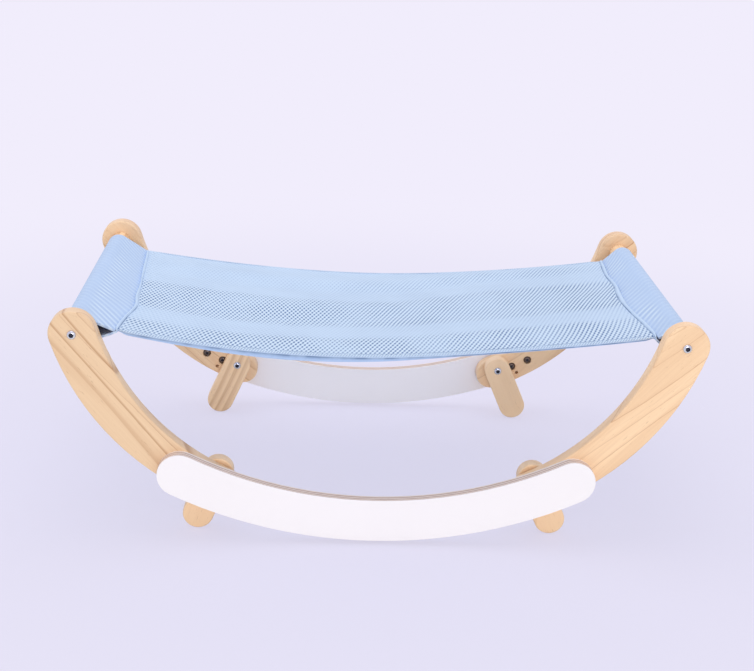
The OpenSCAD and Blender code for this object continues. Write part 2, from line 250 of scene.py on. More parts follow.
def pine(context, name, along, pith, lean=(0.0, 0.0), tone=1.0, contrast=1.0, lines=()):
    """Pine sawn along a direction of the XZ plane, with rings round a pith that lies beside the piece.

    along is the angle of the grain from +X towards +Z, pith the pith's place across the grain
    and in depth, and lean how far the pith drifts for each metre of grain. Each ring has its own
    strength, so only a few of them show as dark lines. lines adds bold ones, as (place across the
    grain, width, strength)."""
    wood = settings(context, "hammock_wood")
    finish = Finish(name)
    vector = finish.place(turn=(0, along, 0))
    drift = finish.noise(finish.stretched(vector, (2.0, 9.0, 9.0)), 3.0, 1.0)
    ripple = finish.noise(finish.stretched(vector, (40.0, 60.0, 60.0)), 1.0, 2.0)
    u, w, v = finish.parts(vector)
    across = finish.maths("SUBTRACT", v, finish.maths("MULTIPLY_ADD", u, lean[0], pith[0]))
    deep = finish.maths("SUBTRACT", w, finish.maths("MULTIPLY_ADD", u, lean[1], pith[1]))
    radius = finish.maths("SQRT", finish.maths("MULTIPLY_ADD", across, across,
                                               finish.maths("MULTIPLY", deep, deep)))
    radius = finish.maths("MULTIPLY_ADD", drift, 0.016, radius)
    radius = finish.maths("MULTIPLY_ADD", ripple, 0.0012, radius)
    turns = finish.maths("DIVIDE", radius, wood.ring)
    phase = finish.maths("FRACT", turns)
    year = finish.node("ShaderNodeTexWhiteNoise", {"W": finish.maths("FLOOR", turns)},
                       noise_dimensions="1D").outputs["Value"]
    fade = finish.maths("MULTIPLY", finish.between(phase, 0.25, 0.93), finish.between(phase, 1.0, 0.95))
    thin = finish.maths("MULTIPLY", finish.between(phase, 0.80, 0.93), finish.between(phase, 1.0, 0.95))
    patch = finish.noise(finish.stretched(vector, (7.0, 60.0, 60.0)), 1.0, 2.0)
    broad = finish.noise(finish.stretched(vector, (4.0, 55.0, 55.0)), 1.0, 1.0)
    kept = finish.maths("MULTIPLY", finish.between(year, 0.30, 0.95), finish.between(patch, 0.30, 0.60, 0.35, 1.0))
    fibre = finish.noise(finish.stretched(vector, (14.0, 620.0, 620.0)), 1.0, 3.0, 0.6)
    pores = finish.noise(finish.stretched(vector, (110.0, 1000.0, 1000.0)), 1.0, 1.0)
    pale = tuple(c * tone for c in wood.early)
    warm = tuple(c * tone for c in wood.late)
    body = finish.mix(finish.between(broad, 0.42, 0.68, 0.0, 0.22 * contrast), pale, warm)
    body = finish.mix(finish.maths("MULTIPLY", fade, finish.maths("MULTIPLY", kept, 0.22 * contrast)), body, warm)
    body = finish.mix(finish.maths("MULTIPLY", thin, finish.maths("MULTIPLY", kept, 0.62 * contrast)),
                      body, tuple(c * 0.85 for c in warm))
    beside = finish.maths("MULTIPLY_ADD", drift, 0.008, v)
    for place, width, strength in lines:
        offset = finish.maths("SUBTRACT", beside, place + 0.004)
        line = finish.maths("MULTIPLY", finish.between(offset, -width, 0.0), finish.between(offset, 0.25 * width, 0.0))
        body = finish.mix(finish.maths("MULTIPLY", line, strength), body, tuple(c * 0.9 for c in warm))
    body = finish.mix(finish.between(fibre, 0.35, 0.7, 0.0, 0.13 * contrast), body, warm)
    fleck = finish.between(pores, 0.70, 0.78, 0.0, wood.fleck)
    body = finish.mix(fleck, body, tuple(c * 0.6 for c in warm))
    finish.set(base_color=body, roughness=wood.gloss)
    finish.shader.inputs["Coat Weight"].default_value = 0.12
    finish.shader.inputs["Coat Roughness"].default_value = 0.25
    finish.bump(finish.maths("MULTIPLY_ADD", fibre, 0.6, finish.maths("MULTIPLY", thin, 0.4)), 0.00012)
    return finish.material


def layered_core(context):
    """Layers of the panel core, seen on its edges, from the front sheet to the back one."""
    wood = settings(context, "hammock_wood")
    low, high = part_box("front_panel")
    finish = Finish("layered_core")
    vector = finish.place()
    x, y, z = finish.parts(vector)
    depth = finish.maths("SUBTRACT", finish.maths("ABSOLUTE", y), -high.y)
    layer = finish.maths("FRACT", finish.maths("DIVIDE", depth, (high.y - low.y) / 2.7))
    waver = finish.noise(finish.stretched(vector, (8.0, 5.0, 8.0)), 4.0)
    layer = finish.maths("MULTIPLY_ADD", waver, 0.10, layer)
    dark = finish.maths("MULTIPLY", finish.between(layer, 0.66, 0.76), finish.between(layer, 1.06, 0.98))
    fibre = finish.noise(finish.stretched(vector, (90.0, 900.0, 90.0)), 1.0, 2.0)
    body = finish.mix(dark, tuple(wood.ply_pale), tuple(wood.ply_dark))
    body = finish.mix(finish.between(fibre, 0.4, 0.7, 0.0, 0.15), body, tuple(wood.ply_dark))
    finish.set(base_color=body, roughness=0.6)
    finish.bump(fibre, 0.0001)
    return finish.material


def white_sheet(context):
    """Smooth white sheet with a very fine grain in its satin skin."""
    wood = settings(context, "hammock_wood")
    finish = Finish("white_sheet")
    vector = finish.place()
    skin = finish.noise(vector, 900.0, 2.0)
    cloud = finish.noise(vector, 9.0, 1.0)
    white = tuple(wood.white)
    body = finish.mix(finish.between(cloud, 0.35, 0.65, 0.0, 0.35), white, tuple(c * 0.975 for c in white))
    finish.set(base_color=body, roughness=finish.between(skin, 0.3, 0.7, 0.34, 0.42))
    finish.bump(skin, 0.00002)
    return finish.material


def plated(context, name, base, rough):
    """Plated steel, with fine turned marks and smudges. rough is the lowest and highest roughness."""
    finish = Finish(name)
    vector = finish.place()
    marks = finish.noise(finish.stretched(vector, (300.0, 2500.0, 300.0)), 1.0, 2.0)
    smudge = finish.noise(vector, 160.0, 2.0)
    body = finish.mix(finish.between(smudge, 0.4, 0.7, 0.0, 0.5), base, tuple(c * 0.82 for c in base))
    finish.set(base_color=body, metallic=1.0, roughness=finish.between(marks, 0.3, 0.7, *rough))
    finish.bump(marks, 0.00001)
    return finish.material


def recess_painted_shade(context):
    """Painted shade on the bottom and walls of the driver recess, darker in mottled patches."""
    metal = settings(context, "hammock_metal")
    finish = Finish("driver_recess_painted_shade")
    shade_mottle = finish.noise(finish.place(), 700.0, 2.0)
    shadow = tuple(metal.shadow)
    body = finish.mix(finish.between(shade_mottle, 0.35, 0.65), shadow, tuple(c * 0.5 for c in shadow))
    finish.set(base_color=body, roughness=0.5)
    return finish.material


def rubber(context):
    """Pale rubber of the foot pads, with a fine moulded grain."""
    finish = Finish("pad_rubber")
    grain = finish.noise(finish.place(), 1400.0, 2.0)
    pale = srgb(236, 232, 222)
    body = finish.mix(finish.between(grain, 0.3, 0.7, 0.0, 0.4), pale, tuple(c * 0.85 for c in pale))
    finish.set(base_color=body, roughness=0.75)
    finish.bump(grain, 0.00005)
    return finish.material


def air_mesh(context, name, face, depth=1.0, painted_highlight=0.85, pitch=None):
    """Knitted air mesh: staggered, slanted holes and fine ribs laid out on the piece's own cloth coordinates, with
    painted shade in the holes and rib grooves.

    The attribute open says how far the holes show at a point, slant how much they lean, and fold
    where the cloth runs into the shade of a seam. pitch
    gives the cloth its own distance between holes, the same both ways."""
    cloth = settings(context, "hammock_cloth")
    finish = Finish(name)
    u, v, _ = finish.parts(finish.node("ShaderNodeUVMap", uv_map="weave").outputs[0])
    full = 2 * math.pi
    a = finish.maths("MULTIPLY", u, full / (pitch or cloth.pitch))
    b = finish.maths("MULTIPLY", v, full / (pitch or cloth.row))
    upright = finish.maths("MULTIPLY", finish.maths("COSINE", a), finish.maths("COSINE", b))
    crossed = finish.maths("MULTIPLY", finish.maths("SINE", a), finish.maths("SINE", b))
    slant = finish.node("ShaderNodeAttribute", attribute_name="slant").outputs["Fac"]
    lattice = finish.maths("MULTIPLY_ADD", crossed, slant, upright)
    hole = finish.between(lattice, 0.15, 0.85)
    highlight_mask = finish.between(lattice, -0.1, -0.9)
    shown = finish.node("ShaderNodeAttribute", attribute_name="open").outputs["Fac"]
    vector = finish.place()
    cloud = finish.noise(vector, 16.0, 2.0)
    faint = finish.between(shown, 0.0, 1.0, 0.2, 1.0)
    seen = finish.maths("MULTIPLY", faint, finish.between(cloud, 0.3, 0.7, 0.65, 1.1))
    ribs = finish.maths("MULTIPLY_ADD", finish.maths("SINE", finish.maths(
        "MULTIPLY", finish.maths("ADD", u, finish.maths("MULTIPLY", v, 0.7)), full / 0.0012)), 0.5, 0.5)
    yarn = finish.noise(vector, 1500.0, 2.0)
    hole_shade = tuple(cloth.hole)
    # Painted shade in the rib grooves; yarn and cloud mottle towards the same dark colour.
    body = finish.mix(finish.maths("MULTIPLY", ribs, 0.07), face, hole_shade)
    body = finish.mix(finish.between(yarn, 0.3, 0.7, 0.0, 0.08), body, hole_shade)
    body = finish.mix(finish.between(cloud, 0.35, 0.7, 0.0, 0.04), body, hole_shade)
    # Painted highlight on the raised threads between the holes.
    body = finish.mix(finish.maths("MULTIPLY", highlight_mask, finish.maths("MULTIPLY", seen, painted_highlight)),
                      body, tuple(cloth.stitch))
    # Painted shade at the bottom of the holes.
    body = finish.mix(finish.maths("MULTIPLY", hole, finish.maths("MULTIPLY", seen, depth)), body, hole_shade)
    # Painted shade where the cloth runs into the shade of a seam.
    fold = finish.node("ShaderNodeAttribute", attribute_name="fold").outputs["Fac"]
    body = finish.mix(finish.maths("MULTIPLY", fold, fold), body, hole_shade)
    finish.set(base_color=body, roughness=0.85)
    finish.shader.inputs["Sheen Weight"].default_value = 0.15
    finish.shader.inputs["Sheen Roughness"].default_value = 0.5
    finish.shader.inputs["Specular IOR Level"].default_value = 0.2
    sunk = finish.maths("MULTIPLY", hole, finish.maths("MULTIPLY", seen, depth))
    finish.bump(finish.maths("SUBTRACT", finish.maths("MULTIPLY", ribs, 0.12), sunk), 0.0006)
    return finish.material


def folded_edge(context, name, face):
    """Close-knit edge strip. Its attributes say where the stitches, the painted shade of the folds and the flap below
    lie.
    """
    cloth = settings(context, "hammock_cloth")
    finish = Finish(name)
    u, v, _ = finish.parts(finish.node("ShaderNodeUVMap", uv_map="weave").outputs[0])
    full = 2 * math.pi
    slanted = finish.maths("ADD", u, finish.maths("MULTIPLY", v, 0.8))
    wave = finish.maths("SINE", finish.maths("MULTIPLY", slanted, full / 0.0029))
    stitched, fold, flap = (finish.node("ShaderNodeAttribute", attribute_name=n).outputs["Fac"]
                            for n in ("stitched", "fold", "flap"))
    vector = finish.place()
    yarn = finish.noise(vector, 1300.0, 2.0)
    fold_shade_patches = finish.noise(vector, 55.0, 2.0)
    hole_shade = tuple(cloth.hole)
    body = finish.mix(flap, face, tuple(cloth.edge))
    body = finish.mix(finish.between(yarn, 0.3, 0.7, 0.0, 0.12), body, hole_shade)
    stitch = finish.maths("MULTIPLY", finish.between(wave, -0.2, 0.8), stitched)
    gap = finish.maths("MULTIPLY", finish.between(wave, 0.0, -0.9), stitched)
    body = finish.mix(finish.maths("MULTIPLY", gap, 0.42), body, hole_shade)
    body = finish.mix(finish.maths("MULTIPLY", stitch, 0.55), body, tuple(cloth.stitch))
    # Painted shade along the folds, stronger in noisy patches.
    body = finish.mix(finish.maths("MULTIPLY", fold, finish.between(fold_shade_patches, 0.3, 0.65, 0.45, 1.0)),
                      body, tuple(c * 0.75 for c in hole_shade))
    finish.set(base_color=body, roughness=0.85)
    finish.shader.inputs["Sheen Weight"].default_value = 0.12
    finish.shader.inputs["Specular IOR Level"].default_value = 0.2
    finish.bump(finish.maths("MULTIPLY_ADD", stitch, 0.8, finish.maths("MULTIPLY", yarn, 0.2)), 0.0004)
    return finish.material


def sleeve_shade_material(context):
    """Painted shade for the inner side of a sleeve, darker in cloudy patches."""
    cloth = settings(context, "hammock_cloth")
    finish = Finish("painted_sleeve_shade")
    cloud = finish.noise(finish.place(), 60.0, 3.0)
    deep = tuple(cloth.inside)
    body = finish.mix(finish.between(cloud, 0.35, 0.65, 0.0, 0.6), deep, tuple(c * 0.55 for c in deep))
    finish.set(base_color=body, roughness=0.95)
    return finish.material


def deselect():
    if bpy.context.object and bpy.context.object.mode != "OBJECT":
        bpy.ops.object.mode_set(mode="OBJECT")
    bpy.ops.object.select_all(action="DESELECT")


def pick(piece):
    """Makes the piece the only selected and active object."""
    deselect()
    piece.select_set(True)
    bpy.context.view_layer.objects.active = piece


def paint(piece, *materials):
    piece.data.materials.clear()
    for material in materials:
        piece.data.materials.append(material)


def refill_folded_faces(piece):
    """Fills anew each flat face whose triangles in the frame fold back over each other."""
    mesh = bmesh.new()
    mesh.from_mesh(piece.data)

    def faces_away(edge):
        faces = edge.link_faces
        return len(faces) == 2 and faces[0].normal.dot(faces[1].normal) < -0.99

    fold = next(filter(faces_away, mesh.edges), None)
    while fold:
        flat, grow = set(fold.link_faces), list(fold.link_faces)
        while grow:
            face = grow.pop()
            for other in (f for edge in face.edges for f in edge.link_faces):
                if other not in flat and abs(other.normal.dot(face.normal)) > 0.999:
                    flat.add(other)
                    grow.append(other)
        rim = list({edge for face in flat for edge in face.edges if any(f not in flat for f in edge.link_faces)})
        bmesh.ops.delete(mesh, geom=list(flat), context="FACES")
        bmesh.ops.triangle_fill(mesh, edges=rim, use_beauty=True)
        fold = next(filter(faces_away, mesh.edges), None)
    bmesh.ops.recalc_face_normals(mesh, faces=mesh.faces)
    mesh.to_mesh(piece.data)
    mesh.free()


def smooth_copy(node, soften=0.0):
    """A merged copy of a CAD node with smooth shading, and its sharp edges eased by soften."""
    piece = frame["nodes"][node].copy()
    piece.data = piece.data.copy()
    piece.name = node + "_dressed"
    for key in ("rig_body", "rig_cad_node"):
        del piece[key]
    piece.parent = None
    bpy.context.scene.collection.objects.link(piece)
    pick(piece)
    bpy.ops.object.mode_set(mode="EDIT")
    bpy.ops.mesh.customdata_custom_splitnormals_clear()
    bpy.ops.mesh.select_all(action="SELECT")
    bpy.ops.mesh.remove_doubles(threshold=1e-6)
    bpy.ops.object.mode_set(mode="OBJECT")
    refill_folded_faces(piece)
    if soften:
        bevel = piece.modifiers.new("eased", "BEVEL")
        bevel.width = soften
        bevel.segments = 2
        bevel.limit_method = "ANGLE"
        bevel.angle_limit = math.radians(50)
        bpy.ops.object.modifier_apply(modifier=bevel.name)
    bpy.ops.object.shade_smooth_by_angle(angle=math.radians(50))
    evened = piece.modifiers.new("even", "WEIGHTED_NORMAL")
    evened.keep_sharp = True
    bpy.ops.object.modifier_apply(modifier=evened.name)
    return piece


def dress(node, material, soften=0.0):
    """Shows a smooth copy of a CAD node, in its finish, in place of the node."""
    piece = smooth_copy(node, soften)
    paint(piece, material)
    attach(piece, frame["nodes"][node]["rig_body"])
    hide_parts(node)
    return piece


def finish_node(node, material):
    """Gives a CAD node its finish without a copy."""
    paint(frame["nodes"][node], material)


class HAMMOCK_OT_panels(bpy.types.Operator):
    """Dress the two curved rocker panels and their white sheets"""
    bl_idname = "hammock.panels"
    bl_label = "Rocker panels"

    def execute(self, context):
        core, white = layered_core(context), white_sheet(context)
        for side in SIDES:
            dress(side + "_panel", core)
            dress(side + "_panel_face", white, soften=0.0003)
            if side + "_panel_lining" in frame["nodes"]:
                dress(side + "_panel_lining", white)
        return {"FINISHED"}


def across_grain(x, z, along):
    """Place of a point across the grain that runs at the angle along."""
    return z * math.cos(along) - x * math.sin(along)


def chord_angle(corner):
    """Angle of the grain of an arm, which runs straight from its head to its tail."""
    arm_low, arm_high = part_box(corner + "_arm")
    rise = math.atan2(arm_high.z - arm_low.z, arm_high.x - arm_low.x)
    return rise if "right" in corner else math.pi - rise


class HAMMOCK_OT_arms(bpy.types.Operator):
    """Dress the four bent arms in pine"""
    bl_idname = "hammock.arms"
    bl_label = "Arms"

    def execute(self, context):
        looks = {
            "front_left": dict(pith=(-0.035, -0.265), lean=(0.03, 0.10), tone=0.88, contrast=0.6),
            "front_right": dict(pith=(0.020, -0.280), lean=(-0.08, 0.16), tone=1.02, contrast=0.7),
            "back_left": dict(pith=(0.05, 0.12), lean=(0.05, 0.08), tone=0.93, contrast=1.1),
            "back_right": dict(pith=(-0.04, 0.10), lean=(-0.04, 0.12), tone=0.95),
        }
        for corner in CORNERS:
            along = chord_angle(corner)
            lines = []
            if corner == "front_left":
                along -= 0.05
                low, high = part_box("left_dowel")
                bolt = across_grain((low.x + high.x) / 2, (low.z + high.z) / 2, along)
                lines = [(bolt - 0.0082, 0.0034, 0.62), (bolt + 0.0101, 0.0030, 0.58), (bolt + 0.023, 0.006, 0.3)]
            wood = pine(context, "pine_" + corner + "_arm", along, lines=lines, **looks[corner])
            dress(corner + "_arm", wood)
        return {"FINISHED"}


class HAMMOCK_OT_feet(bpy.types.Operator):
    """Dress the four splayed feet, their rubber pads and their catches"""
    bl_idname = "hammock.feet"
    bl_label = "Feet"

    def execute(self, context):
        metal = settings(context, "hammock_metal")
        pad, steel = rubber(context), plated(context, "catch_steel", tuple(metal.dull), (0.28, 0.40))
        for corner in CORNERS:
            low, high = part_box(corner + "_foot")
            width = 0.033
            splay = math.atan2(high.z - low.z - width, high.x - low.x - width)
            along = math.pi - splay if "right" in corner else splay
            middle = across_grain((low.x + high.x) / 2, (low.z + high.z) / 2, along)
            streaked = corner == "back_left"
            lines = [(middle + a, 0.0065, 0.34) for a in (-0.0070, 0.0020, 0.0110)] if streaked else []
            wood = pine(context, "pine_" + corner + "_foot", along,
                        pith=(0.02 if "left" in corner else -0.12, 0.30 * (1 if "back" in corner else -1)),
                        lean=(0.02, 0.05), tone=1.0, contrast=0.5 if streaked else 0.3, lines=lines)
            dress(corner + "_foot", wood)
            dress(corner + "_pad", pad, soften=0.0004)
            dress(corner + "_catch", steel)
        return {"FINISHED"}


class HAMMOCK_OT_dowels(bpy.types.Operator):
    """Dress the two dowels in pine with its grain along them"""
    bl_idname = "hammock.dowels"
    bl_label = "Dowels"

    def execute(self, context):
        wood = settings(context, "hammock_wood")
        finish = Finish("pine_dowel")
        vector = finish.place()
        fibre = finish.noise(finish.stretched(vector, (500.0, 14.0, 500.0)), 1.0, 3.0, 0.6)
        line = finish.noise(finish.stretched(vector, (150.0, 5.0, 150.0)), 1.0, 1.0)
        body = finish.mix(finish.between(line, 0.4, 0.7, 0.0, 0.5), tuple(wood.early), tuple(wood.late))
        body = finish.mix(finish.between(fibre, 0.4, 0.7, 0.0, 0.2), body, tuple(wood.late))
        finish.set(base_color=body, roughness=0.5)
        finish.bump(fibre, 0.0001)
        for end in ENDS:
            dress(end + "_dowel", finish.material)
        return {"FINISHED"}


def islands(node):
    """Boxes of the separate solids in a CAD node, as (centre, lowest corner, highest corner)."""
    mesh = bmesh.new()
    mesh.from_mesh(frame["nodes"][node].data)
    bmesh.ops.remove_doubles(mesh, verts=mesh.verts, dist=1e-6)
    left = set(mesh.verts)
    found = []
    while left:
        island = {left.pop()}
        grow = list(island)
        while grow:
            for edge in grow.pop().link_edges:
                for vert in edge.verts:
                    if vert in left:
                        left.discard(vert)
                        island.add(vert)
                        grow.append(vert)
        low = Vector([min(v.co[i] for v in island) for i in range(3)])
        high = Vector([max(v.co[i] for v in island) for i in range(3)])
        found.append(((low + high) / 2, low, high))
    mesh.free()
    return sorted(found, key=lambda f: tuple(round(c, 4) for c in f[0]))


def bolt_shape(context, shank, crossed):
    """A button-head bolt along -Y with its head's seat at the origin, and its hexagon or crossed socket."""
    metal = settings(context, "hammock_metal")
    deselect()
    bpy.ops.mesh.primitive_circle_add(vertices=48, radius=metal.head, fill_type="NGON",
                                      rotation=(math.pi / 2, 0, 0))
    piece = bpy.context.object
    pick(piece)
    bpy.ops.object.transform_apply(location=True, rotation=True, scale=True)
    bpy.ops.object.mode_set(mode="EDIT")
    bpy.ops.mesh.select_all(action="SELECT")
    rise = [(0.30, 0.0), (0.52, 0.06), (0.74, 0.16), (0.90, 0.30), (0.98, 0.44), (1.0, 0.56)]
    last_height, last_radius = 0.0, 1.0
    for height, drawn in rise:
        bpy.ops.mesh.extrude_region_move(
            TRANSFORM_OT_translate={"value": (0, -(height - last_height) * metal.dome, 0)})
        factor = (1 - drawn) / last_radius
        bpy.ops.transform.resize(value=(factor, 1, factor), center_override=(0, 0, 0))
        last_height, last_radius = height, 1 - drawn
    bpy.ops.object.mode_set(mode="OBJECT")
    cutter = cross_cutter if crossed else hexagon_cutter
    socket = cutter(metal.socket, metal.dome)
    cut = piece.modifiers.new("socket", "BOOLEAN")
    cut.object = socket
    cut.operation = "DIFFERENCE"
    cut.solver = "EXACT"
    pick(piece)
    bpy.ops.object.modifier_apply(modifier=cut.name)
    bpy.data.objects.remove(socket)
    add_shank(piece, shank)
    return piece


def hexagon_cutter(radius, dome):
    """A hexagonal prism that reaches from above the dome to a third of its height."""
    deselect()
    bpy.ops.mesh.primitive_cylinder_add(vertices=6, radius=radius, depth=dome * 1.6,
                                        location=(0, -dome * 1.15, 0), rotation=(math.pi / 2, 0, 0))
    cutter = bpy.context.object
    pick(cutter)
    bpy.ops.object.transform_apply(location=True, rotation=True, scale=True)
    return cutter


def cross_cutter(radius, dome):
    """Two crossed slots that reach from above the dome to a third of its height."""
    deselect()
    slots = []
    for turn in (0, math.pi / 2):
        deselect()
        bpy.ops.mesh.primitive_cylinder_add(vertices=4, radius=radius * 0.42, depth=dome * 1.6,
                                            location=(0, -dome * 1.15, 0), rotation=(math.pi / 2, 0, 0))
        slot = bpy.context.object
        pick(slot)
        bpy.ops.object.transform_apply(location=True, rotation=True, scale=True)
        bpy.ops.object.mode_set(mode="EDIT")
        bpy.ops.mesh.select_all(action="SELECT")
        bpy.ops.transform.rotate(value=turn + math.pi / 4, orient_axis="Y", center_override=(0, 0, 0))
        long_way = (2.4, 1, 1) if turn == 0 else (1, 1, 2.4)
        bpy.ops.transform.resize(value=long_way, center_override=(0, 0, 0))
        bpy.ops.object.mode_set(mode="OBJECT")
        slots.append(slot)
    joined = slots[0].modifiers.new("crossed", "BOOLEAN")
    joined.object = slots[1]
    joined.operation = "UNION"
    joined.solver = "EXACT"
    pick(slots[0])
    bpy.ops.object.modifier_apply(modifier=joined.name)
    bpy.data.objects.remove(slots[1])
    return slots[0]


def add_shank(piece, shank):
    """Adds the bolt's plain shank behind its head, as part of the same mesh."""
    deselect()
    bpy.ops.mesh.primitive_cylinder_add(vertices=32, radius=0.0025, depth=shank,
                                        location=(0, shank / 2, 0), rotation=(math.pi / 2, 0, 0))
    rod = bpy.context.object
    pick(rod)
    bpy.ops.object.transform_apply(location=True, rotation=True, scale=True)
    rod.select_set(True)
    piece.select_set(True)
    bpy.context.view_layer.objects.active = piece
    bpy.ops.object.join()


def paint_recess_shade(piece, reach, depth):
    """Second material, the painted shade of the recess, on the faces inside the socket."""
    for face in piece.data.polygons:
        centre = face.center
        across = math.hypot(centre.x, centre.z)
        face.material_index = int(across < reach and -depth < centre.y < -0.0002 and
                                  (abs(face.normal.y) < 0.5 or centre.y > -depth * 0.55))


class HAMMOCK_OT_fasteners(bpy.types.Operator):
    """Model the button-head bolts and dress the inserts and washers"""
    bl_idname = "hammock.fasteners"
    bl_label = "Fasteners"

    def execute(self, context):
        metal = settings(context, "hammock_metal")
        bright = plated(context, "bolt_plating", tuple(metal.plate), (0.10, 0.20))
        bronze = plated(context, "panel_bolt_plating", tuple(metal.bronze), (0.22, 0.34))
        recess = recess_painted_shade(context)
        dull = plated(context, "insert_steel", tuple(metal.dull), (0.28, 0.40))
        for node in ("dowel_bolts", "panel_bolts", "pivot_bolts"):
            for number, (centre, low, high) in enumerate(islands(node), 1):
                outwards = node == "dowel_bolts"
                towards = math.copysign(1, centre.y) * (1 if outwards else -1)
                seat = high.y if towards > 0 else low.y
                shank = (high.y - low.y) - metal.dome
                crossed = node == "panel_bolts"
                bolt = bolt_shape(context, shank, crossed)
                bolt.name = f"{node[:-1]}_{number}"
                # The second material is the painted shade inside the socket.
                paint(bolt, bronze if crossed else bright, recess)
                paint_recess_shade(bolt, metal.socket * 1.05, metal.dome)
                turn = Matrix.Rotation(math.pi if towards > 0 else 0, 4, "Z")
                spin = Matrix.Rotation(0.4 * number, 4, "Y")
                place = Matrix.Translation((centre.x, seat - towards * metal.dome, centre.z))
                bolt.data.transform(place @ turn @ spin)
                pick(bolt)
                bpy.ops.object.shade_smooth_by_angle(angle=math.radians(30))
                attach(bolt, FRAME_BODY)
                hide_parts(node)
        for node, slot in (("dowel_inserts", "insert_steel"), ("panel_inserts", "insert_steel"),
                           ("pivot_washers", "bolt_steel")):
            dress(node, dull)
        return {"FINISHED"}


# How far each seam wanders outwards from its place in the frame, in mm, from the front hem to the back one.
SEAM_WANDER = {
    "left": (2.2, -1.5, -7.4, -3.8, -2.6, 0.1, 2.6, 5.0, 7.4),
    "right": (16.8, 14.8, 10.2, 7.8, 9.3, 12.5, 10.9, 13.9, 16.8),
}
# How far each seam lies above its place in the frame, in mm, at the front hem and at the back one.
SEAM_RISE = {"left": (-2.5, 0.0), "right": (2.8, 1.2)}


def along_path(values, t):
    """Smooth value at t, from 0 to 1, of a path through evenly spaced values."""
    last = len(values) - 1
    place = min(max(t, 0.0), 1.0) * last
    i = min(int(place), last - 1)
    f = place - i
    before, here, there, after = (values[min(max(k, 0), last)] for k in (i - 1, i, i + 1, i + 2))
    return here + 0.5 * f * (there - before + f * (2 * before - 5 * here + 4 * there - after
                                                   + f * (3 * (here - there) + after - before)))


def eased(value, low, high):
    """The value's place between low and high, eased, from 0 to 1."""
    f = min(1.0, max(0.0, (value - low) / (high - low)))
    return f * f * (3 - 2 * f)


class ClothForm:
    """Shape of the slung cloth: its seams, its sag and its soft waves, taken from the frame."""

    def __init__(self, context):
        cloth = settings(context, "hammock_cloth")
        seam_low, seam_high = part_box("right_seam")
        front_low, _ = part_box("front_hem")
        back_low, back_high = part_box("back_hem")
        self.thick, self.wave, self.lean = cloth.thickness, cloth.wave, cloth.lean
        self.front, self.back = front_low.y, back_high.y
        self.seam = (seam_low.x + seam_high.x) / 2
        self.seam_width = seam_high.x - seam_low.x
        self.seam_heights = (seam_high.z - cloth.welt / 2, seam_low.z + cloth.welt / 2)
        self.middle_heights = (front_low.z + cloth.hem / 2, back_low.z + cloth.hem / 2)
        low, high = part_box("right_dowel")
        self.dowel = Vector(((low.x + high.x) / 2, 0, (low.z + high.z) / 2))
        self.dowel_radius = (high.x - low.x) / 2

    def depth(self, y):
        """0 at the front hem and 1 at the back hem."""
        return (y - self.front) / (self.back - self.front)

    def along(self, t):
        return self.front + (self.back - self.front) * t

    def seam_line(self, end, y):
        """Place of the wavy seam at one end, as (x, z)."""
        t = self.depth(y)
        side = "left" if end < 0 else "right"
        front_rise, back_rise = SEAM_RISE[side]
        front_z, back_z = self.seam_heights
        rise = front_rise + (back_rise - front_rise) * t
        return end * (self.seam + along_path(SEAM_WANDER[side], t) * MM), front_z + (back_z - front_z) * t + rise * MM

    def bands(self, x):
        """Depths along Y between which the bed's soft waves lie, from the front: its smooth bands."""
        front = -0.103 + 0.027 * eased(x, -0.22, 0.22)
        back = 0.045 + 0.035 * eased(x, 0.0, 0.16)
        return front - 0.125, front, back, back + 0.085, back + 0.170

    def turn(self, x, y):
        """How many waves lie between the front and a point of the bed."""
        bands = self.bands(x)
        for i in range(len(bands) - 1):
            if y < bands[i + 1] or i == len(bands) - 2:
                return i + (y - bands[i]) / (bands[i + 1] - bands[i])

    def bed(self, x, y):
        """Height of the middle of the cloth between the seams."""
        t = self.depth(y)
        edge_x, edge_z = self.seam_line(1 if x > 0 else -1, y)
        front_middle, back_middle = self.middle_heights
        middle = front_middle + (back_middle - front_middle) * t
        reach = min(1.0, abs(x / edge_x))
        z = middle + (edge_z - middle) * reach ** 1.8
        z += self.lean * math.sin(math.pi * x / 0.4) * (1 - reach ** 3) * (1 - t)
        fade = (1 - reach ** 4) * (1 - min(1, abs(2 * t - 1)) ** 6)
        return z - self.wave * math.sin(2 * math.pi * self.turn(x, y)) * fade

    def openness(self, x, y):
        """How far the holes of the bed show at a point, from 0 on its smooth bands to 1."""
        turn = self.turn(x, y)
        smooth_band = min(self.bands(x)[1:], key=lambda band: abs(y - band))
        shown = eased(abs(y - smooth_band), 0.012, 0.036)
        if turn < 1:
            strength = 1.0
        elif turn < 2:
            strength = 1.0 - 0.35 * eased(x, -0.16, 0.02)
        else:
            strength = 0.42 * eased(x, -0.16, 0.06)
        return shown * strength

    def slant(self, x, y):
        """How much the holes of the bed lean, from a diamond lattice on its left to strokes on its right."""
        if self.turn(x, y) < 1:
            return 0.34
        return 0.12 + 0.50 * eased(x, -0.12, 0.06)


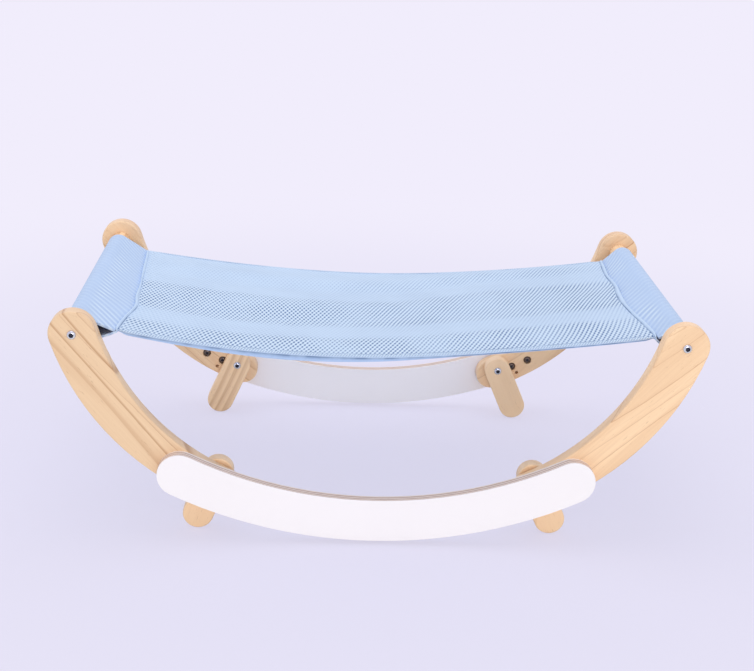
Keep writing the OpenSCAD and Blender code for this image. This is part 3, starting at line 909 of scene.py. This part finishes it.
def grid_piece(name, rows, columns, point, closed=False):
    """A sheet of quads through point(i, j), with cloth coordinates in metres along each side."""
    mesh = bpy.data.meshes.new(name)
    points = [[Vector(point(i, j)) for j in range(columns + 1)] for i in range(rows + 1)]
    verts = [p for row in points for p in row]
    wide = columns + 1
    faces = [(i * wide + j, i * wide + j + 1, (i + 1) * wide + j + 1, (i + 1) * wide + j)
             for i in range(rows) for j in range(columns)]
    mesh.from_pydata(verts, [], faces)
    lay = mesh.uv_layers.new(name="weave")
    middle_row, middle_column = points[rows // 2], columns // 2
    across = [0.0]
    for j in range(columns):
        across.append(across[-1] + (middle_row[j + 1] - middle_row[j]).length)
    along = [0.0]
    for i in range(rows):
        along.append(along[-1] + (points[i + 1][middle_column] - points[i][middle_column]).length)
    for face in mesh.polygons:
        for corner, vert in zip(face.loop_indices, face.vertices):
            lay.data[corner].uv = (along[vert // wide], across[vert % wide])
    piece = bpy.data.objects.new(name, mesh)
    bpy.context.scene.collection.objects.link(piece)
    return piece


def add_values(piece, name, value_of):
    """A number on each vertex, which the cloth's finish reads."""
    layer = piece.data.attributes.new(name, "FLOAT", "POINT")
    for vert, item in zip(piece.data.vertices, layer.data):
        item.value = value_of(vert)


def thicken(piece, thickness, offset=0.0):
    """Gives a sheet its two sides."""
    pick(piece)
    solid = piece.modifiers.new("thickness", "SOLIDIFY")
    solid.thickness = thickness
    solid.offset = offset
    solid.use_even_offset = False
    bpy.ops.object.modifier_apply(modifier=solid.name)


def close_tube(piece):
    """Joins the two long sides of a sheet that was laid round a tube, closes its ends and turns it outwards."""
    pick(piece)
    bpy.ops.object.mode_set(mode="EDIT")
    bpy.ops.mesh.select_all(action="SELECT")
    bpy.ops.mesh.remove_doubles(threshold=1e-6)
    bpy.ops.mesh.select_all(action="DESELECT")
    bpy.ops.mesh.select_non_manifold()
    bpy.ops.mesh.fill_holes(sides=0)
    bpy.ops.mesh.select_all(action="SELECT")
    bpy.ops.mesh.normals_make_consistent(inside=False)
    bpy.ops.object.mode_set(mode="OBJECT")


def smooth(piece, angle=60):
    pick(piece)
    bpy.ops.object.shade_smooth_by_angle(angle=math.radians(angle))


class HAMMOCK_OT_bed(bpy.types.Operator):
    """Lay the sagging mesh bed between its seams"""
    bl_idname = "hammock.bed"
    bl_label = "Bed"

    def execute(self, context):
        form = ClothForm(context)
        cloth = settings(context, "hammock_cloth")
        rows, columns = 220, 140
        inside = 0.0035
        width = form.back - form.front - 2 * inside

        def point(i, j):
            y = form.front + inside + width * j / columns
            left, right = form.seam_line(-1, y)[0], form.seam_line(1, y)[0]
            inset = form.seam_width * 0.3
            x = left + inset + (right - left - 2 * inset) * i / rows
            ruck = 0.0005 * noise.noise(Vector((x * 40, y * 30, 0.0)))
            return x, y, form.bed(x, y) + ruck

        piece = grid_piece("bed_cloth", rows, columns, point)
        add_values(piece, "open", lambda vert: form.openness(vert.co.x, vert.co.y))
        add_values(piece, "slant", lambda vert: form.slant(vert.co.x, vert.co.y))
        add_values(piece, "fold", lambda vert: 0.0)
        thicken(piece, form.thick)
        paint(piece, air_mesh(context, "bed_mesh", tuple(cloth.thread)))
        smooth(piece)
        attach(piece, FRAME_BODY)
        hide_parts("bed")
        return {"FINISHED"}


def sleeve_section(form, end, y, steps):
    """Points of the sleeve's middle line at one y: over the dowel, round it and back to the seam."""
    tip = Vector(form.seam_line(end, y))
    axis = Vector((end * form.dowel.x, form.dowel.z))
    radius = form.dowel_radius + 0.0002 + SLEEVE_WALL / 2
    away = axis - tip
    base = math.atan2(away.y, away.x)
    wrap = math.acos(radius / away.length)
    half_turn = 2 * math.pi - 2 * wrap
    start = base + math.pi - end * wrap
    foot = tip + Vector((end * (0.0026 if end > 0 else 0.0016), -0.0006))
    below = tip - Vector((0, form.thick * 0.5))
    flat = steps // 4
    arc = [axis + radius * Vector((math.cos(a), math.sin(a)))
           for a in (start - end * half_turn * k / (steps - 2 * flat) for k in range(steps - 2 * flat + 1))]
    over = [foot.lerp(arc[0], k / flat) for k in range(flat)]
    under = [arc[-1].lerp(below, (k + 1) / flat) - Vector((0, SLEEVE_SLACK * math.sin(math.pi * (k + 1) / flat)))
             for k in range(flat)]
    return over + arc + under


class HAMMOCK_OT_sleeves(bpy.types.Operator):
    """Wrap the mesh sleeves round the dowels"""
    bl_idname = "hammock.sleeves"
    bl_label = "Sleeves"

    def execute(self, context):
        form = ClothForm(context)
        cloth = settings(context, "hammock_cloth")
        mesh = air_mesh(context, "sleeve_mesh", tuple(cloth.sleeve), depth=0.15, painted_highlight=0.55, pitch=0.0106)
        inside = sleeve_shade_material(context)
        steps, columns = 64, 110
        width = form.back - form.front
        for end, name in ((-1, "left"), (1, "right")):
            def point(i, j, end=end):
                y = form.front + width * j / columns
                x, z = sleeve_section(form, end, y, steps)[i]
                return x, y, z

            piece = grid_piece(name + "_sleeve_cloth", steps, columns, point)

            def openness(vert):
                """The strokes of the mesh show between the seam and the dowel, and more in some places."""
                beside_dowel = eased(form.dowel.x - abs(vert.co.x), 0.002, 0.016)
                return beside_dowel * (0.35 + 0.65 * eased(noise.noise(vert.co * 17.0), -0.15, 0.25))

            add_values(piece, "open", openness)
            add_values(piece, "slant", lambda vert: 1.0)
            # Painted shade along the sleeve's edge where it meets the seam, stronger on the right.
            add_values(piece, "fold", lambda vert, end=end: (0.75 if end > 0 else 0.25) * (vert.index <= columns))
            pick(piece)
            bpy.ops.object.mode_set(mode="EDIT")
            bpy.ops.mesh.select_all(action="SELECT")
            bpy.ops.mesh.normals_make_consistent(inside=False)
            bpy.ops.object.mode_set(mode="OBJECT")
            paint(piece, mesh, inside)
            thicken(piece, SLEEVE_WALL)
            self.paint_inside_shade(piece, form, end)
            smooth(piece)
            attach(piece, FRAME_BODY)
            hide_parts(name + "_sleeve")
            around = sum((b - a).length for a, b in pairwise(sleeve_section(form, end, form.along(0.5), steps)))
        return {"FINISHED"}

    def paint_inside_shade(self, piece, form, end):
        """Painted shade: the inner material on the faces that look down into the sleeve."""
        for face in piece.data.polygons:
            x, z = form.seam_line(end, face.center.y)
            axis = Vector((end * form.dowel.x, form.dowel.z))
            tip = Vector((x, z))
            here = Vector((face.center.x, face.center.z))
            share_along = max(0.0, min(1.0, (here - tip).dot(axis - tip) / (axis - tip).length_squared))
            spine = tip.lerp(axis, share_along)
            inwards = (spine - here).dot(Vector((face.normal.x, face.normal.z)))
            face.material_index = int(inwards > 0 and abs(face.normal.y) < 0.7 and face.normal.z < 0.2)


class HAMMOCK_OT_hems(bpy.types.Operator):
    """Roll and stitch the front and back hems"""
    bl_idname = "hammock.hems"
    bl_label = "Hems"

    def execute(self, context):
        form = ClothForm(context)
        cloth = settings(context, "hammock_cloth")
        edge = folded_edge(context, "hem_edge", tuple(cloth.thread))
        rows, bead = 240, 0.0017
        # Points of the hem across its section, as (outwards, up, flap, fold), where fold is painted shade in its
        # creases: each bead point on a circle.
        section = [(-0.0034, 0.0010, 0, 0.0), (-0.0027, 0.0017, 0, 0.7)]
        section += [(bead * math.cos(a), bead * math.sin(a), 0, 0.0)
                    for a in (math.radians(d) for d in (150, 120, 90, 60, 30, 0, -30))]
        section += [(0.0009, -bead, 0, 0.85), (0.0014, -bead - 0.0008, 1, 0.25), (0.0016, -bead, 2, 0.0),
                    (0.0010, -bead, 3, 0.0), (-0.0006, -bead, 3, 0.0), (-0.0014, -bead, 0, 0.0)]
        count = len(section)
        for side, sign in (("front", -1), ("back", 1)):
            line = form.front + 0.0030 if sign < 0 else form.back - 0.0030

            def drop(x, sign=sign):
                """How far the flap below the bead hangs down."""
                if sign > 0:
                    return 0.0008
                return 0.0006 + 0.0014 * eased(x, 0.12, -0.02) + 0.0034 * math.exp(-((x + 0.09) / 0.12) ** 2)

            def point(i, j, sign=sign, line=line, drop=drop):
                left, right = form.seam_line(-1, line)[0], form.seam_line(1, line)[0]
                x = left + (right - left) * i / rows
                outward, up, flap, _ = section[j % count]
                full = 0.3 + 0.7 * eased(min(i, rows - i) / rows, 0.0, 0.02)
                hang = drop(x) * (0, 0.25, 0.7, 1.0)[flap]
                return x, line + sign * outward * full, form.bed(x, line) + (up - hang) * full

            piece = grid_piece(side + "_hem_cloth", rows, count, point)
            wide = count + 1
            add_values(piece, "stitched", lambda vert: float(2 <= vert.index % wide <= 7))
            add_values(piece, "fold", lambda vert: section[vert.index % wide % count][3])
            add_values(piece, "flap", lambda vert: float(section[vert.index % wide % count][2] > 0))
            close_tube(piece)
            paint(piece, edge)
            smooth(piece, 60)
            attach(piece, FRAME_BODY)
            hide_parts(side + "_hem")
        return {"FINISHED"}


class HAMMOCK_OT_seams(bpy.types.Operator):
    """Raise the welt of each seam, with a fold and its painted shade along both of its sides"""
    bl_idname = "hammock.seams"
    bl_label = "Seams"

    def execute(self, context):
        form = ClothForm(context)
        cloth = settings(context, "hammock_cloth")
        welt = folded_edge(context, "seam_welt", tuple(cloth.thread))
        columns = 220
        # Points of the welt across its section, as (outwards, up, fold), where fold is painted shade in its grooves:
        # low sides, a ridge and its underside.
        section = [(-0.0036, 0.0004, 0.0), (-0.0031, 0.0016, 0.9), (-0.0022, 0.0022, 0.25), (-0.0012, 0.0034, 0.0),
                   (0.0, 0.0038, 0.0), (0.0012, 0.0035, 0.0), (0.0023, 0.0023, 0.25), (0.0031, 0.0016, 0.9),
                   (0.0036, 0.0004, 0.0), (0.0026, -0.0030, 0.0), (0.0, -0.0038, 0.0), (-0.0026, -0.0030, 0.0)]
        count = len(section)

        def ends(y):
            """The welt flattens and narrows where it meets the hems."""
            return 0.3 + 0.7 * eased(min(y - form.front, form.back - y), 0.0, 0.009)

        for end, name in ((-1, "left"), (1, "right")):
            slack = 0.86 if end > 0 else 0.58

            def width(y, end=end, slack=slack):
                twist = 1 + 0.32 * math.sin(38 * y + 2.1 * end) * math.cos(15 * y)
                return slack * twist * ends(y)

            def point(i, j, end=end, width=width):
                y = form.along(i / columns)
                x, z = form.seam_line(end, y)
                outward, up, _ = section[j % count]
                return x + end * outward * width(y), y, z + up * ends(y)

            # Painted shade in the welt's grooves; on the left seam weaker, except the inner groove near the front.
            def fold(vert, end=end):
                shade = section[vert.index % (count + 1) % count][2]
                inner = vert.index % (count + 1) < 4
                if end < 0:
                    shade *= (0.25 + 0.75 * eased(vert.co.y, -0.075, -0.095)) if inner else 0.4
                return shade

            piece = grid_piece(name + "_seam_cloth", columns, count, point)
            add_values(piece, "stitched", lambda vert: 0.0)
            add_values(piece, "flap", lambda vert: 0.0)
            add_values(piece, "fold", fold)
            close_tube(piece)
            paint(piece, welt)
            smooth(piece, 70)
            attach(piece, FRAME_BODY)
            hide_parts(name + "_seam")
        self.declare_bed(form)
        return {"FINISHED"}

    def declare_bed(self, form):
        """Points along the bed's middle line from seam to seam; nothing uses them."""
        y = form.along(0.5)
        left, right = form.seam_line(-1, y)[0], form.seam_line(1, y)[0]
        steps = 200
        path = [Vector((x, form.bed(x, y))) for x in (left + (right - left) * k / steps for k in range(steps + 1))]


def aim(location, target):
    """Matrix of a lamp at location that looks at target."""
    towards = Vector(target) - Vector(location)
    return Matrix.Translation(location) @ towards.to_track_quat("-Z", "Y").to_matrix().to_4x4()


def lamp(name, location, target, size, power):
    light = bpy.data.lights.new(name, "AREA")
    light.shape = "DISK"
    light.size = size
    light.energy = power
    holder = bpy.data.objects.new(name, light)
    holder.matrix_world = aim(location, target)
    bpy.context.scene.collection.objects.link(holder)


class HAMMOCK_OT_stage(bpy.types.Operator):
    """Set the camera, the pale floor and the soft light"""
    bl_idname = "hammock.stage"
    bl_label = "Stage"

    def execute(self, context):
        stage = settings(context, "hammock_stage")
        self.camera(context, stage)
        self.floor(stage)
        self.air(context, stage)
        lamp("key_lamp", (-0.3, 0.3, 2.6), (0, 0, 0.1), 2.2, stage.key)
        lamp("fill_lamp", (0.8, -7.5, 1.35), (0, 0, 0.1), 2.2, stage.fill)
        context.scene.view_settings.view_transform = "Standard"
        return {"FINISHED"}

    def camera(self, context, stage):
        """Camera in front of the hammock, above it and turned down to it."""
        location = Vector((-0.0666, -1.5820, 0.7011))
        yaw, pitch, roll = 0.044, 0.326, 0.037
        forward = Vector((math.sin(yaw) * math.cos(pitch), math.cos(yaw) * math.cos(pitch), -math.sin(pitch)))
        level = Vector((math.cos(yaw), -math.sin(yaw), 0))
        upright = level.cross(forward)
        right = math.cos(roll) * level + math.sin(roll) * upright
        up = math.cos(roll) * upright - math.sin(roll) * level
        turn = Matrix((right, up, -forward)).transposed().to_4x4()
        data = bpy.data.cameras.new("camera")
        data.sensor_width = 36
        data.lens = stage.lens
        data.clip_end = 60
        camera = bpy.data.objects.new("camera", data)
        camera.matrix_world = Matrix.Translation(location) @ turn
        context.scene.collection.objects.link(camera)
        context.scene.camera = camera

    def floor(self, stage):
        """Wide pale floor that brightens into the background away from the hammock."""
        deselect()
        bpy.ops.mesh.primitive_plane_add(size=60, location=(0, 0, 0))
        plane = bpy.context.object
        plane.name = "floor"
        finish = Finish("floor")
        x, y, _ = finish.parts(finish.place())
        reach = finish.maths("SQRT", finish.maths("MULTIPLY_ADD", x, x, finish.maths("MULTIPLY", y, y)))
        far = finish.between(reach, 0.30, 1.35)
        shade = finish.mix(far, tuple(stage.floor), tuple(stage.far))
        finish.set(roughness=0.9)
        finish.shader.inputs["Specular IOR Level"].default_value = 0.0
        glow = finish.node("ShaderNodeEmission", {0: shade, 1: 1.0})
        seen = finish.node("ShaderNodeLightPath").outputs["Is Camera Ray"]
        finish.set(base_color=finish.mix(seen, (0.93, 0.93, 0.96), shade))
        amount = finish.maths("MULTIPLY", finish.between(reach, 0.4, 1.4, 0.75, 1.0), seen)
        mixed = finish.node("ShaderNodeMixShader", {0: amount, 1: finish.shader.outputs[0], 2: glow.outputs[0]})
        finish.feed(finish.tree.nodes["Material Output"].inputs[0], mixed.outputs[0])
        paint(plane, finish.material)

    def air(self, context, stage):
        """Even light from all round, and the pale air that the camera and shiny metal see."""
        world = bpy.data.worlds.new("air")
        world.use_nodes = True
        tree = world.node_tree
        even = tree.nodes["Background"]
        even.inputs[0].default_value = (1, 1, 1, 1)
        even.inputs[1].default_value = stage.sky
        seen = tree.nodes.new("ShaderNodeBackground")
        seen.inputs[0].default_value = (*stage.far, 1)
        path = tree.nodes.new("ShaderNodeLightPath")
        either = tree.nodes.new("ShaderNodeMath")
        either.operation = "MAXIMUM"
        tree.links.new(path.outputs["Is Camera Ray"], either.inputs[0])
        tree.links.new(path.outputs["Is Glossy Ray"], either.inputs[1])
        mixed = tree.nodes.new("ShaderNodeMixShader")
        tree.links.new(either.outputs[0], mixed.inputs[0])
        tree.links.new(even.outputs[0], mixed.inputs[1])
        tree.links.new(seen.outputs[0], mixed.inputs[2])
        tree.links.new(mixed.outputs[0], tree.nodes["World Output"].inputs[0])
        context.scene.world = world


OPERATORS = (
    HAMMOCK_OT_stage,
    HAMMOCK_OT_panels,
    HAMMOCK_OT_arms,
    HAMMOCK_OT_feet,
    HAMMOCK_OT_dowels,
    HAMMOCK_OT_fasteners,
    HAMMOCK_OT_bed,
    HAMMOCK_OT_sleeves,
    HAMMOCK_OT_hems,
    HAMMOCK_OT_seams,
)


class HAMMOCK_PT_sidebar(bpy.types.Panel):
    """Sizes, colours and steps of the hammock"""
    bl_idname = "HAMMOCK_PT_sidebar"
    bl_label = "Cat hammock"
    bl_space_type = "VIEW_3D"
    bl_region_type = "UI"
    bl_category = "Hammock"

    def draw(self, context):
        for name, group in PROPERTY_GROUPS.items():
            box = self.layout.box()
            for prop in group.__annotations__:
                box.prop(settings(context, name), prop)
        for operator in OPERATORS:
            self.layout.operator(operator.bl_idname)


def register():
    for kind in (*PROPERTY_GROUPS.values(), *OPERATORS, HAMMOCK_PT_sidebar):
        bpy.utils.register_class(kind)
    for name, group in PROPERTY_GROUPS.items():
        setattr(bpy.types.Scene, name, bpy.props.PointerProperty(type=group))


def unregister():
    for name in PROPERTY_GROUPS:
        delattr(bpy.types.Scene, name)
    for kind in reversed((*PROPERTY_GROUPS.values(), *OPERATORS, HAMMOCK_PT_sidebar)):
        bpy.utils.unregister_class(kind)


def main():
    register()
    for operator in OPERATORS:
        group, name = operator.bl_idname.split(".")
        getattr(getattr(bpy.ops, group), name)()


if __name__ == "__main__":
    main()
